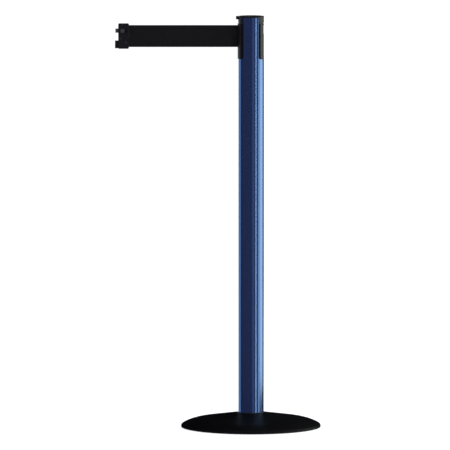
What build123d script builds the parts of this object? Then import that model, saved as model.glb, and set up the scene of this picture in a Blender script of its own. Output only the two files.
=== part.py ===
"""Retractable belt stanchion, in mm, +Z up, origin on the floor under the post axis.

The belt leaves the head toward -X and the receiver for a neighbour's belt faces +X.
"""

import math
import os

from build123d import *

# ---- driving dimensions -------------------------------------------------------------------
TOTAL_H = 1015.0
POST_R = 31.75
POST_WALL = 2.0
POST_IN_R = POST_R - POST_WALL
RIM_H = 2.6
RIM_PROUD = 0.4
TUBE_TOP = TOTAL_H - RIM_H

BASE_R = 172.0
BASE_TOP = 36.5
BASE_SHOULDER_R = 134.0
BASE_SHOULDER_Z = 20.8
BASE_BEND_R = 158.0
BASE_BEND_Z = 13.9
BASE_RIM_TOP = 5.2
COVER_LIFT = 0.8
COVER_T = 1.6
COVER_BORE_R = POST_R + 0.4

PAD_R = 163.0
PAD_T = 3.0
PAD_GROOVE = 1.0
PAD_GROOVE_W = 6.0
PAD_GROOVE_RADII = (40.0, 80.0, 120.0, 150.0)
WEIGHT_R = 157.0
WEIGHT_EDGE_Z = 7.5
WEIGHT_SHOULDER_R = 138.0
WEIGHT_SHOULDER_Z = 15.5
WEIGHT_HUB_R = 46.0
WEIGHT_HUB_Z = 30.0
SEAT_Z = 20.0
SEAT_R = 32.6
COUNTERBORE_R = 15.0
COUNTERBORE_TOP = 13.5
BOLT_R = 6.0
BOLT_HEAD_R = 10.9
BOLT_HEAD_Z = 4.0
WASHER_T = 2.0
PLUG_H = 38.0
PIN_R = 2.5
PIN_Z = 28.0
PIN_COUNT = 3
PIN_L = 10.0
PIN_SETBACK = 0.2
SEAL_W = 2.6
SEAL_H = 1.2

BELT_W = 54.0
BELT_T = 0.7
BELT_Z = TOTAL_H - 49.4
BELT_LOW = BELT_Z - BELT_W / 2
BELT_HIGH = BELT_Z + BELT_W / 2

PANEL_LOW = 910.0
PANEL_HIGH = 996.6
PANEL_HALF_W = 25.6
PANEL_RECESS = 1.2
OUTLET_FACE_HALF = 19.5
RECEIVER_FACE_HALF = 21.4
PANEL_GAP = 0.3
PANEL_IN_R = 27.5
PANEL_CORNER = 5.0
OUTLET_PROUD = 1.3
# under PANEL_IN_R, so that the flange ends as a full wall and not as a sliver
FLANGE_HALF_W = PANEL_IN_R - 0.5
FLANGE_OUT_R = POST_IN_R - 0.15
SKIRT_LOW = 999.0
SKIRT_IN_R = POST_IN_R + 0.25
CAP_PLUG_H = 8.0
TAB_OUT = 5.2
TAB_HALF_W = 9.0
TAB_LOW = TOTAL_H - 7.6
TAB_HIGH = TOTAL_H - 0.4
TAB_ROUND = 3.0
CAP_ROUND = 1.8
CAP_PLUG_WALL = 2.0

FLOOR_Z = PANEL_LOW - 4.0
FLOOR_T = 4.0
TOP_Z = PANEL_HIGH
TOP_T = 4.0
ROD_R = 1.4
ROD_Y = 26.5
NUT_R = 2.8
NUT_H = 2.4
HEAD_SCREW_R = 1.5
HEAD_SCREW_HEAD_R = 3.0
HEAD_SCREW_SOCKET_R = 1.05
HEAD_SCREW_HEAD_T = 1.4
HEAD_SCREW_L = 12.0
HEAD_SCREW_ANGLES = (60.0, 120.0)

SPINDLE_R = 4.0
BUSH_R = 5.0
CORE_R = 8.0
ROLL_R = 22.4
REEL_FLANGE_R = 23.6
REEL_FLANGE_T = 1.0
REEL_LOW = BELT_LOW - 2.0
REEL_HIGH = BELT_HIGH + 1.0
RUN_FIT = 0.05
FELT_LOW = REEL_HIGH + 0.3
WAVE_LOW = TOP_Z - 1.0
CLEAR = 0.4

CUP_R = 22.5
CUP_LOW = 912.0
CUP_HIGH = 932.0
CUP_T = 1.2
SPRING_W = 15.0
SPRING_T = 0.6
SPRING_TURNS = 8
SPRING_START = 1.2
SPRING_SPARE = 0.4
CORE_LIFT = 0.6
BUSH_L = 10.0

ROLLER_R = 2.6
ROLLER_PIN_R = 1.0
ROLLER_X = -27.2
NIP_HALF = BELT_T / 2 + 0.35
ROLLER_Y = NIP_HALF + ROLLER_R
SLOT_HALF = 3.0
SLOT_SPARE = 1.4
PIN_SPARE = 3.6
LIP_HALF = 9.0
LIP_DEPTH = 3.0
MOUTH_DEPTH = 6.0
BOSS_WALL = 1.8
FAR = 60.0

CHANNEL_BACK = 24.4
CHANNEL_WALL = 1.2
CHANNEL_HALF = 7.2
CHANNEL_LOW = 934.0
CHANNEL_HIGH = 993.0
CHANNEL_FACE_IN = 29.4
KEY_SLOT_HALF = 3.0
KEY_SLOT_LOW = 917.0
KEY_ENTRY_LOW = 971.0

CLIP_X = -300.0
CLIP_L = 26.0
CLIP_HALF_T = 6.5
CLIP_H = 62.0
CLIP_LOW = BELT_Z - CLIP_H / 2
CLIP_HIGH = BELT_Z + CLIP_H / 2
CLIP_END = CLIP_X - CLIP_L
CLIP_COVER_T = 2.0
CLIP_JOINT_Y = -CLIP_HALF_T + CLIP_COVER_T
LATCH_PLATE_IN_Y = -2.4
BELT_INSERT = 14.0
HOOK_LOW = CLIP_LOW + 1.0
HOOK_H = 19.0
HOOK_NECK = 5.0
HOOK_NECK_HALF = 2.2
HOOK_HEAD_T = 3.0
HOOK_HEAD_HALF = 6.4
TONGUE_Z = BELT_Z + 13.4
TONGUE_H = 10.0
TONGUE_HALF_T = 4.0
LATCH_TRAVEL = 6.0
LATCH_GAP = 0.35
LATCH_OUT = 7.0
LATCH_PLATE_L = 14.0
CLIP_SCREW_R = 1.2
CLIP_SCREW_HEAD_R = 2.4
CLIP_SCREW_SPOTS = ((-6.0, -15.0), (-20.5, -6.0))
CLIP_CORNER = 2.5
CLIP_END_WALL = 1.6
CLIP_PIN_R = 2.0
PLATE_START = 2.0
PLATE_MARGIN = 4.0
THUMB_START = 6.0
THUMB_L = 9.0
THUMB_PROUD = 2.0
THUMB_RIB_STEP = 2.5
HOOK_ROUND = 1.5


# ---- small helpers ------------------------------------------------------------------------
def tube_between(radius, z_low, z_high, x=0.0, y=0.0):
    """Upright cylinder between two heights."""
    height = z_high - z_low
    return Pos(x, y, z_low + height / 2) * Cylinder(radius, height)


def ring(inner, outer, z_low, z_high, x=0.0, y=0.0):
    """Upright ring between two radii and two heights."""
    return tube_between(outer, z_low, z_high, x, y) - tube_between(inner, z_low - 1, z_high + 1, x, y)


def lying_rod(radius, length, x, z):
    """Cylinder lying along X, by its middle."""
    return Pos(x, 0, z) * Rot(0, 90, 0) * Cylinder(radius, length)


def block(x_low, x_high, y_low, y_high, z_low, z_high):
    """Box between two corners."""
    size = (x_high - x_low, y_high - y_low, z_high - z_low)
    centre = ((x_low + x_high) / 2, (y_low + y_high) / 2, (z_low + z_high) / 2)
    return Pos(*centre) * Box(*size)


def spun(points):
    """Solid of revolution about Z from (radius, height) points."""
    wire = Polyline(*[(r, 0, z) for r, z in points], close=True)
    return revolve(make_face(wire), Axis.Z, 360)


def save(name, *pieces):
    """Write one node, as a single solid or as a group of solids."""
    solids = []
    for piece in pieces:
        solids.extend(piece.solids())
    shape = solids[0] if len(solids) == 1 else Compound(children=solids)
    shape.label = name
    export_step(shape, f"parts/{name}.step")


# ---- base ---------------------------------------------------------------------------------
def dome(inset):
    """Solid under the cover's surface, moved in by an inset."""
    shoulder = (BASE_SHOULDER_R, 0, BASE_SHOULDER_Z - inset)
    rim = (BASE_R - inset, 0, BASE_RIM_TOP - inset / 2)
    low = COVER_LIFT - (1 if inset else 0)
    bend = (BASE_BEND_R - inset / 2, 0, BASE_BEND_Z - inset)
    outline = [
        Line((0, 0, low), (0, 0, BASE_TOP - inset)),
        Line((0, 0, BASE_TOP - inset), (POST_R, 0, BASE_TOP - inset)),
        Line((POST_R, 0, BASE_TOP - inset), shoulder),
        Spline(shoulder, bend, rim, tangents=[(1, 0, -0.17), (0.15, 0, -1)]),
        Line(rim, (BASE_R - inset, 0, low)),
        Line((BASE_R - inset, 0, low), (0, 0, low)),
    ]
    return revolve(make_face(Wire(outline)), Axis.Z, 360)


def base_cover():
    shell = dome(0.0) - dome(COVER_T)
    return shell - tube_between(COVER_BORE_R, 0, BASE_TOP + 1)


def floor_pad():
    pad = tube_between(PAD_R, 0, PAD_T)
    for radius in PAD_GROOVE_RADII:
        pad -= ring(radius, radius + PAD_GROOVE_W, -1, PAD_GROOVE)
    return pad


def base_weight():
    body = spun([
        (0, PAD_T),
        (WEIGHT_R, PAD_T),
        (WEIGHT_R, WEIGHT_EDGE_Z),
        (WEIGHT_SHOULDER_R, WEIGHT_SHOULDER_Z),
        (WEIGHT_HUB_R, WEIGHT_HUB_Z),
        (0, WEIGHT_HUB_Z),
    ])
    body -= tube_between(SEAT_R, SEAT_Z, BASE_TOP)
    body -= tube_between(BOLT_R + 0.5, 0, BASE_TOP)
    return body - tube_between(COUNTERBORE_R, 0, COUNTERBORE_TOP)


def hexagon(radius, z_low, z_high, x=0.0, y=0.0):
    """Upright hexagonal prism, by its corner radius."""
    plane = Plane((x, y, z_low))
    return extrude(plane * RegularPolygon(radius, 6), z_high - z_low)


def base_bolt():
    head_top = COUNTERBORE_TOP - WASHER_T
    head = hexagon(BOLT_HEAD_R, BOLT_HEAD_Z, head_top)
    return head + tube_between(BOLT_R, head_top, SEAT_Z + PLUG_H - 4)


def radial_pins():
    """Pins that lock the plug in the foot of the post."""
    pins = []
    middle = POST_R - PIN_SETBACK - PIN_L / 2
    for i in range(PIN_COUNT):
        pin = lying_rod(PIN_R, PIN_L, middle, PIN_Z)
        pins.append(Rot(0, 0, 90 + 360 / PIN_COUNT * i) * pin)
    return pins


def foot_plug():
    plug = tube_between(POST_IN_R, SEAT_Z, SEAT_Z + PLUG_H)
    plug -= tube_between(BOLT_R, SEAT_Z - 1, SEAT_Z + PLUG_H + 1)
    for pin in radial_pins():
        plug -= pin
    return plug


def collar_seal():
    lip = spun([
        (POST_R, BASE_TOP),
        (POST_R + SEAL_W, BASE_TOP - 0.35),
        (POST_R + SEAL_W - 0.4, BASE_TOP + SEAL_H / 2),
        (POST_R, BASE_TOP + SEAL_H),
    ])
    return lip - dome(0.0)


# ---- post ---------------------------------------------------------------------------------
def side_window(sign, low, half_width):
    """Cutter for a window in one side, open at the top, with rounded lower corners."""
    x_low, x_high = sorted((0.0, sign * FAR))
    cutter = block(x_low, x_high, -half_width, half_width, low, TOTAL_H + 5)
    lower = cutter.edges().filter_by(Axis.X).sort_by(Axis.Z)[:2]
    return fillet(lower, PANEL_CORNER)


def post_tube():
    tube = ring(POST_IN_R, POST_R, SEAT_Z, TUBE_TOP)
    for sign in (-1, 1):
        tube -= side_window(sign, PANEL_LOW - PANEL_GAP, PANEL_HALF_W + PANEL_GAP)
    for pin in radial_pins() + head_screws():
        tube -= pin
    return tube


def head_screws():
    """Screws through the back of the post into the edge of the cassette floor."""
    screws = []
    z = FLOOR_Z + FLOOR_T / 2
    for angle in HEAD_SCREW_ANGLES:
        shank = lying_rod(HEAD_SCREW_R, HEAD_SCREW_L, POST_R - HEAD_SCREW_L / 2, z)
        head_x = POST_R - 0.1 + HEAD_SCREW_HEAD_T / 2
        head = lying_rod(HEAD_SCREW_HEAD_R, HEAD_SCREW_HEAD_T, head_x, z)
        socket = lying_rod(HEAD_SCREW_SOCKET_R, HEAD_SCREW_HEAD_T, head_x + HEAD_SCREW_HEAD_T / 2, z)
        screws.append(Rot(0, 0, angle) * (shank + head - socket))
    return screws


# ---- head ---------------------------------------------------------------------------------
def panel(sign, outer, face_half):
    """Curved side panel: a raised face, a lower border and a wider flange behind the tube wall."""
    border = ring(PANEL_IN_R, POST_R - PANEL_RECESS, PANEL_LOW, PANEL_HIGH)
    border &= side_window(sign, PANEL_LOW, PANEL_HALF_W)
    face = ring(PANEL_IN_R, outer, PANEL_LOW, PANEL_HIGH)
    face &= side_window(sign, PANEL_LOW, face_half)
    flange = ring(PANEL_IN_R, FLANGE_OUT_R, PANEL_LOW, PANEL_HIGH)
    flange &= side_window(sign, PANEL_LOW, FLANGE_HALF_W)
    rods = [tube_between(ROD_R + 0.3, PANEL_LOW - 1, PANEL_HIGH + 1, 0, s * ROD_Y) for s in (-1, 1)]
    shape = face + border + flange
    for rod in rods:
        shape -= rod
    return shape


def outlet_panel():
    shape = panel(-1, POST_R + OUTLET_PROUD, OUTLET_FACE_HALF)
    low = BELT_LOW - SLOT_SPARE
    high = BELT_HIGH + SLOT_SPARE
    front = -POST_R - OUTLET_PROUD + 0.4
    lips = block(front, -PANEL_IN_R + LIP_DEPTH, -LIP_HALF, LIP_HALF, BELT_LOW - 6, PANEL_HIGH)
    outer = tube_between(POST_R + OUTLET_PROUD, PANEL_LOW, PANEL_HIGH)
    shape += lips & outer
    shape -= block(-FAR, -PANEL_IN_R + MOUTH_DEPTH, -SLOT_HALF / 2, SLOT_HALF / 2, low, high)
    for side in (-1, 1):
        y = side * ROLLER_Y
        shape -= tube_between(ROLLER_R + CLEAR, low, high, ROLLER_X, y)
        shape -= tube_between(ROLLER_PIN_R, BELT_LOW - PIN_SPARE, BELT_HIGH + PIN_SPARE, ROLLER_X, y)
    back = ROLLER_X + 1.0
    half = ROLLER_Y + ROLLER_R + CLEAR
    return shape - block(back, back + 8, -half, half, low, high)


def receiver_panel():
    shape = panel(1, POST_R, RECEIVER_FACE_HALF)
    outer = tube_between(POST_R, PANEL_LOW, PANEL_HIGH)
    half = CHANNEL_HALF + BOSS_WALL
    shape += block(CHANNEL_BACK, POST_R, -half, half, PANEL_LOW + 2, PANEL_HIGH) & outer
    back = CHANNEL_BACK + CHANNEL_WALL
    shape -= block(back, CHANNEL_FACE_IN, -CHANNEL_HALF, CHANNEL_HALF, CHANNEL_LOW, CHANNEL_HIGH)
    shape -= block(CHANNEL_FACE_IN - 1, FAR, -CHANNEL_HALF, CHANNEL_HALF, KEY_ENTRY_LOW, CHANNEL_HIGH)
    shape -= block(
        CHANNEL_FACE_IN - 1, FAR, -KEY_SLOT_HALF, KEY_SLOT_HALF, KEY_SLOT_LOW, CHANNEL_HIGH
    )
    return shape


def guide_rollers():
    rollers = []
    for side in (-1, 1):
        y = side * ROLLER_Y
        low = BELT_LOW - 1.0
        high = BELT_HIGH + 1.0
        rollers.append(ring(ROLLER_PIN_R + RUN_FIT, ROLLER_R, low, high, ROLLER_X, y))
    return rollers


def roller_pins():
    low = BELT_LOW - PIN_SPARE
    high = BELT_HIGH + PIN_SPARE
    return [tube_between(ROLLER_PIN_R, low, high, ROLLER_X, side * ROLLER_Y) for side in (-1, 1)]


def cassette_plate(z_low, thick, radius):
    """Round plate across the head, drilled for the spindle and the tie rods."""
    plate = tube_between(radius, z_low, z_low + thick)
    plate -= tube_between(SPINDLE_R, z_low - 1, z_low + thick + 1)
    for screw in head_screws():
        plate -= screw
    for side in (-1, 1):
        plate -= tube_between(ROD_R, z_low - 1, z_low + thick + 1, 0, side * ROD_Y)
    return plate


def cassette_rods():
    low = FLOOR_Z - 1.0
    high = TOP_Z + TOP_T + NUT_H
    return [tube_between(ROD_R, low, high, 0, side * ROD_Y) for side in (-1, 1)]


def cassette_nuts():
    nuts = []
    for side in (-1, 1):
        z_low = TOP_Z + TOP_T
        nut = hexagon(NUT_R, z_low, z_low + NUT_H, 0, side * ROD_Y)
        nuts.append(nut - tube_between(ROD_R, z_low - 1, z_low + NUT_H + 1, 0, side * ROD_Y))
    return nuts


def spring_cup():
    cup = tube_between(CUP_R, CUP_LOW, CUP_HIGH)
    cup -= tube_between(CUP_R - CUP_T, CUP_LOW + CUP_T, CUP_HIGH + 1)
    cup -= tube_between(CORE_R + CLEAR, CUP_LOW - 1, CUP_HIGH)
    return cup + ring(CORE_R + 2, CORE_R + 6, FLOOR_Z + FLOOR_T, CUP_LOW)


def power_spring():
    """Flat spiral strip made of half turns whose radius grows each half turn."""
    low = CUP_LOW + CUP_T + 1.0
    inner = CORE_R + SPRING_START
    pitch = (CUP_R - CUP_T - SPRING_SPARE - SPRING_T - inner) / SPRING_TURNS
    step = pitch / 2
    arcs = []
    x = inner
    for i in range(2 * SPRING_TURNS):
        sign = 1 if i % 2 == 0 else -1
        reach = x + step
        start = (sign * x, 0)
        middle = (sign * (x - reach) / 2, sign * (x + reach) / 2)
        end = (-sign * reach, 0)
        arcs.append(ThreePointArc(start, middle, end))
        x = reach
    path = Wire(arcs)
    outline = Plane.XZ * Pos(inner, 0) * Rectangle(SPRING_T, SPRING_W)
    return Pos(0, 0, low + SPRING_W / 2) * sweep(outline, path=path, transition=Transition.ROUND)


def reel_flanges():
    low = ring(BUSH_R, REEL_FLANGE_R, REEL_LOW, REEL_LOW + REEL_FLANGE_T)
    high = ring(BUSH_R, REEL_FLANGE_R, REEL_HIGH - REEL_FLANGE_T, REEL_HIGH)
    return [low, high]


def reel_core():
    middle = ring(BUSH_R, CORE_R, REEL_LOW + REEL_FLANGE_T, REEL_HIGH - REEL_FLANGE_T)
    tail = ring(BUSH_R, CORE_R, CUP_LOW + CUP_T + CORE_LIFT, REEL_LOW)
    return [middle, tail]


def bushings():
    low = CUP_LOW + CUP_T + CORE_LIFT
    inner = SPINDLE_R + RUN_FIT
    return [
        ring(inner, BUSH_R, low, low + BUSH_L),
        ring(inner, BUSH_R, REEL_HIGH - BUSH_L, REEL_HIGH),
    ]


def belt_roll():
    return ring(CORE_R, ROLL_R, BELT_LOW, BELT_HIGH)


def belt_lead():
    """Straight run of belt from the roll's tangent to the nip of the guide rollers."""
    nip = (ROLLER_X + ROLLER_R, 0.0)
    reach = math.hypot(*nip)
    tangent_r = ROLL_R + BELT_T / 2 + 0.3
    swing = math.degrees(math.acos(tangent_r / reach))
    start = Vector(-tangent_r, 0, 0).rotate(Axis.Z, -swing)
    run = Vector(nip[0] - start.X, nip[1] - start.Y, 0)
    angle = math.degrees(math.atan2(run.Y, run.X))
    strip = Rot(0, 0, angle) * Box(run.length, BELT_T, BELT_W)
    centre = Vector((start.X + nip[0]) / 2, (start.Y + nip[1]) / 2, BELT_Z)
    nose = block(-POST_R + 0.2, nip[0], -BELT_T / 2, BELT_T / 2, BELT_LOW, BELT_HIGH)
    return Pos(centre) * strip + nose


def head_cap():
    rim = tube_between(POST_R + RIM_PROUD, TUBE_TOP, TOTAL_H)
    rim = fillet(rim.edges().sort_by(Axis.Z)[-1], CAP_ROUND)
    plug = ring(POST_IN_R - CAP_PLUG_WALL, POST_IN_R, TUBE_TOP - CAP_PLUG_H, TUBE_TOP)
    skirt = ring(SKIRT_IN_R, POST_R, SKIRT_LOW, TUBE_TOP)
    sides = side_window(1, SKIRT_LOW, PANEL_HALF_W) + side_window(-1, SKIRT_LOW, PANEL_HALF_W)
    tab = block(-POST_R - TAB_OUT, -SKIRT_IN_R, -TAB_HALF_W, TAB_HALF_W, TAB_LOW, TAB_HIGH)
    tab = fillet(tab.edges().filter_by(Axis.Z).sort_by(Axis.X)[:2], TAB_ROUND)
    return rim + plug + (skirt & sides) + tab


# ---- belt end -----------------------------------------------------------------------------
def belt_web():
    web = block(CLIP_X - BELT_INSERT, -POST_R - 0.2, -BELT_T / 2, BELT_T / 2, BELT_LOW, BELT_HIGH)
    x, z = clip_screw_places()[0]
    return web - cross_pin(CLIP_SCREW_R, -1, 1, x, z)


def latch_parts(grow, travel):
    """Tongue and plate of the sliding latch, grown by a gap and drawn out along the travel."""
    low = TONGUE_Z - TONGUE_H / 2
    high = TONGUE_Z + TONGUE_H / 2
    reach = travel + grow
    near = CLIP_JOINT_Y + LATCH_GAP - grow
    start = CLIP_END + PLATE_START
    tip = CLIP_END - LATCH_OUT - grow
    far = LATCH_PLATE_IN_Y + grow
    margin = PLATE_MARGIN + grow
    tongue = block(tip, start + 0.6 + reach, near, TONGUE_HALF_T + grow, low - grow, high + grow)
    plate = block(start - grow, start + LATCH_PLATE_L + reach, near, far, low - margin, high + margin)
    return [tongue, plate]


def clip_latch():
    tongue, plate = latch_parts(0.0, 0.0)
    low = TONGUE_Z - TONGUE_H / 2 + 0.5
    high = TONGUE_Z + TONGUE_H / 2 - 0.5
    pad_y = CLIP_JOINT_Y + LATCH_GAP
    start = CLIP_END + THUMB_START
    pad = block(start, start + THUMB_L, -CLIP_HALF_T - THUMB_PROUD, pad_y, low, high)
    shape = tongue + plate + pad
    for i in range(3):
        x = start + 2.0 + THUMB_RIB_STEP * i
        shape -= block(x - 0.4, x + 0.4, -CLIP_HALF_T - 3.0, -CLIP_HALF_T - 1.4, low - 1, high + 1)
    return shape


def clip_screw_places():
    return [(CLIP_X + x, BELT_Z + z) for x, z in CLIP_SCREW_SPOTS]


def cross_pin(radius, y_low, y_high, x, z):
    """Cylinder across the clip, along Y."""
    return Pos(x, (y_low + y_high) / 2, z) * Rot(90, 0, 0) * Cylinder(radius, y_high - y_low)


def clip_body():
    shape = block(CLIP_END, CLIP_X, CLIP_JOINT_Y, CLIP_HALF_T, CLIP_LOW, CLIP_HIGH)
    shape = fillet(shape.edges().filter_by(Axis.Y), CLIP_CORNER)
    neck = block(CLIP_END - HOOK_NECK, CLIP_END + 1, -HOOK_NECK_HALF, HOOK_NECK_HALF, HOOK_LOW,
                 HOOK_LOW + HOOK_H)
    head_x = CLIP_END - HOOK_NECK
    head = block(head_x - HOOK_HEAD_T, head_x, -HOOK_HEAD_HALF, HOOK_HEAD_HALF, HOOK_LOW,
                 HOOK_LOW + HOOK_H)
    head = fillet(head.edges().filter_by(Axis.X), HOOK_ROUND)
    shape = shape + neck + head
    shape -= block(CLIP_X - BELT_INSERT, CLIP_X + 1, -BELT_T / 2, BELT_T / 2, BELT_LOW, BELT_HIGH)
    shape -= tube_between(CLIP_PIN_R, BELT_LOW, BELT_HIGH, CLIP_X - BELT_INSERT, 0)
    for cutter in latch_parts(LATCH_GAP, LATCH_TRAVEL):
        shape -= cutter
    shape -= spring_bore()
    for x, z in clip_screw_places():
        shape -= cross_pin(CLIP_SCREW_R, -CLIP_HALF_T, CLIP_HALF_T - 2.0, x, z)
    return shape


def clip_pin():
    pin = tube_between(CLIP_PIN_R, BELT_LOW, BELT_HIGH, CLIP_X - BELT_INSERT, 0)
    slit = block(CLIP_X - BELT_INSERT, CLIP_X, -BELT_T / 2, BELT_T / 2, BELT_LOW - 1, BELT_HIGH + 1)
    return pin - slit


def clip_cover():
    shape = block(CLIP_END, CLIP_X, -CLIP_HALF_T, CLIP_JOINT_Y, CLIP_LOW, CLIP_HIGH)
    shape = fillet(shape.edges().filter_by(Axis.Y), CLIP_CORNER)
    low = TONGUE_Z - TONGUE_H / 2 + 0.1
    high = TONGUE_Z + TONGUE_H / 2 - 0.1
    start = CLIP_END + THUMB_START
    shape -= block(start - CLEAR, start + THUMB_L + CLEAR + LATCH_TRAVEL, -10, 0, low, high)
    for x, z in clip_screw_places():
        shape -= cross_pin(CLIP_SCREW_R, -10, CLIP_JOINT_Y + 1, x, z)
        shape -= cross_pin(CLIP_SCREW_HEAD_R, -10, -CLIP_HALF_T + 1.0, x, z)
    return shape


def clip_screws():
    screws = []
    for x, z in clip_screw_places():
        head = cross_pin(CLIP_SCREW_HEAD_R, -CLIP_HALF_T + 0.1, -CLIP_HALF_T + 1.0, x, z)
        head -= cross_pin(1.0, -CLIP_HALF_T - 1, -CLIP_HALF_T + 0.6, x, z)
        screws.append(head + cross_pin(CLIP_SCREW_R, -CLIP_HALF_T + 1.0, CLIP_HALF_T - 2.0, x, z))
    return screws


def spring_bore():
    """Room for the latch's spring, between the plate and the end wall."""
    start = CLIP_END + PLATE_START + LATCH_PLATE_L
    end = CLIP_X - CLIP_END_WALL
    return block(start, end, CLIP_JOINT_Y, LATCH_PLATE_IN_Y + 0.3, TONGUE_Z - 2, TONGUE_Z + 2)


def latch_spring():
    """Small spring pack between the latch plate and the clip's end wall, at its shut length."""
    start = CLIP_END + PLATE_START + LATCH_PLATE_L + LATCH_TRAVEL + 0.3
    end = CLIP_X - CLIP_END_WALL
    return block(start, end, CLIP_JOINT_Y + 0.2, LATCH_PLATE_IN_Y, TONGUE_Z - 1.6, TONGUE_Z + 1.6)


# ---- write every node ---------------------------------------------------------------------
def main():
    os.makedirs("parts", exist_ok=True)
    save("floor_pad", floor_pad())
    save("base_weight", base_weight())
    save("base_cover", base_cover())
    save("base_bolt", base_bolt())
    save("base_washer", ring(BOLT_R + 0.3, COUNTERBORE_R - 1, COUNTERBORE_TOP - WASHER_T, COUNTERBORE_TOP))
    save("foot_plug", foot_plug())
    save("foot_pins", *radial_pins())
    save("collar_seal", collar_seal())
    save("post_tube", post_tube())
    save("cassette_floor", cassette_plate(FLOOR_Z, FLOOR_T, POST_IN_R))
    save("cassette_top", cassette_plate(TOP_Z, TOP_T, POST_IN_R))
    save("head_screws", *head_screws())
    save("cassette_rods", *cassette_rods())
    save("cassette_nuts", *cassette_nuts())
    save("spindle", tube_between(SPINDLE_R, FLOOR_Z - 3, TOP_Z + TOP_T))
    save("spindle_clip", ring(SPINDLE_R, SPINDLE_R + 2, FLOOR_Z - 2, FLOOR_Z))
    save("spring_cup", spring_cup())
    save("power_spring", power_spring())
    save("spring_cover", ring(CORE_R + CLEAR, CUP_R, CUP_HIGH, CUP_HIGH + 1.2))
    save("reel_core", *reel_core())
    save("reel_flanges", *reel_flanges())
    save("bushings", *bushings())
    save("belt_roll", belt_roll())
    save("belt_lead", belt_lead())
    save("brake_felt", ring(SPINDLE_R, CORE_R + 6, FELT_LOW, WAVE_LOW))
    save("wave_washer", ring(SPINDLE_R, CORE_R + 2, WAVE_LOW, TOP_Z))
    save("outlet_panel", outlet_panel())
    save("receiver_panel", receiver_panel())
    front, back = guide_rollers()
    save("guide_roller_front", front)
    save("guide_roller_back", back)
    save("roller_pins", *roller_pins())
    save("head_cap", head_cap())
    save("belt_web", belt_web())
    save("clip_body", clip_body())
    save("clip_cover", clip_cover())
    save("clip_screws", *clip_screws())
    save("clip_pin", clip_pin())
    save("clip_latch", clip_latch())
    save("latch_spring", latch_spring())


main()
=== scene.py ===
"""Looks of the retractable belt stanchion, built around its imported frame.

Everything is in metres in the frame's own axes: +Z up the post, the belt leaves towards -X.
"""

import logging
import math
from dataclasses import dataclass, field
from enum import Enum

import bmesh
import bpy
from mathutils import Matrix, Vector


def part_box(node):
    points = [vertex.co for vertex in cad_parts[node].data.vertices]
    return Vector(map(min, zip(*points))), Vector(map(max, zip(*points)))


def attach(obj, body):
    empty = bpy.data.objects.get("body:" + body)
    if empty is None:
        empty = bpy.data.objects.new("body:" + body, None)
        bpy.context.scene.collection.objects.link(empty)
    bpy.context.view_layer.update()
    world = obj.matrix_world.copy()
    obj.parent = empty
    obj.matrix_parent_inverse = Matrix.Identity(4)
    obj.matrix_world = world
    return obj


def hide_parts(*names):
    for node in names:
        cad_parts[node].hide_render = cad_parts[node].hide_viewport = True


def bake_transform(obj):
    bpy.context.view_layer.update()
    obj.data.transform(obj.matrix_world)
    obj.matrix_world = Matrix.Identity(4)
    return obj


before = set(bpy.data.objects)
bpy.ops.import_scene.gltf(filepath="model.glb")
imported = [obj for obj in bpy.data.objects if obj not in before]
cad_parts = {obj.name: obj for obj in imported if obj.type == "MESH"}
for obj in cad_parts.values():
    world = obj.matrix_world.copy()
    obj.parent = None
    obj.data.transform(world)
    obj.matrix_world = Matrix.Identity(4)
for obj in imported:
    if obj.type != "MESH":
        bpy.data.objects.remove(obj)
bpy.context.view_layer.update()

LOG = logging.getLogger("stanchion")
MM = 0.001
Colour = tuple[float, float, float]
Point = tuple[float, float]

# vertices closer than this are one, and edges shorter than the second are dropped
MERGE = 1e-6
NO_LENGTH = 1e-7
# turns, in degrees: a flat face, an edge that is rounded, an edge that stays sharp
FLAT_DEG = 1.0
SOFTEN_DEG = 35.0
SHARP_DEG = 32.0
# steps round the post and the base's cover
ROUND_STEPS = 256


class Body(Enum):
    """Rigid bodies that the pieces ride on."""

    STAND = "stand"
    BELT_END = "belt_end"
    LATCH = "latch"


class Slot(Enum):
    """Finish slots of the record."""

    POST = "post_blue"
    BASE = "base_black"
    PAD = "pad_rubber"
    HEAD = "head_plastic"
    LATCH = "latch_plastic"
    BELT = "belt_black"


# ---- mesh tools ---------------------------------------------------------------------------
def polish(bm: bmesh.types.BMesh, sharp_deg: float = SHARP_DEG) -> None:
    """Shade smooth, keeping the edges that turn more than an angle sharp.

    Args:
        bm: The mesh to shade.
        sharp_deg: Turn above which an edge stays sharp.
    """
    limit = math.radians(sharp_deg)
    for face in bm.faces:
        face.smooth = True
    for edge in bm.edges:
        edge.smooth = len(edge.link_faces) != 2 or edge.calc_face_angle(0.0) < limit


def finish_mesh(bm: bmesh.types.BMesh, name: str, sharp_deg: float = SHARP_DEG) -> bpy.types.Object:
    """Close a bmesh into a named object at the origin.

    Args:
        bm: The finished shape, in metres in the frame's axes.
        name: Name of the piece.
        sharp_deg: Turn above which an edge stays sharp.

    Returns:
        The new object, linked to the scene.
    """
    bmesh.ops.recalc_face_normals(bm, faces=bm.faces)
    polish(bm, sharp_deg)
    mesh = bpy.data.meshes.new(name)
    bm.to_mesh(mesh)
    bm.free()
    piece = bpy.data.objects.new(name, mesh)
    bpy.context.scene.collection.objects.link(piece)
    return piece


def lathe(profile: list[Point], steps: int) -> bmesh.types.BMesh:
    """Spin a closed (radius, height) outline about the post's axis.

    Args:
        profile: Corner points of the outline in order, in metres.
        steps: Segments in the full turn.

    Returns:
        The closed solid.
    """
    bm = bmesh.new()
    verts = [bm.verts.new((r, 0.0, z)) for r, z in profile]
    edges = [bm.edges.new((a, b)) for a, b in zip(verts, verts[1:] + verts[:1])]
    bmesh.ops.spin(
        bm, geom=verts + edges, axis=(0, 0, 1), cent=(0, 0, 0), angle=math.tau, steps=steps,
        use_merge=True,
    )
    bmesh.ops.remove_doubles(bm, verts=bm.verts, dist=MERGE)
    bmesh.ops.dissolve_degenerate(bm, edges=bm.edges, dist=NO_LENGTH)
    return bm


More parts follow.
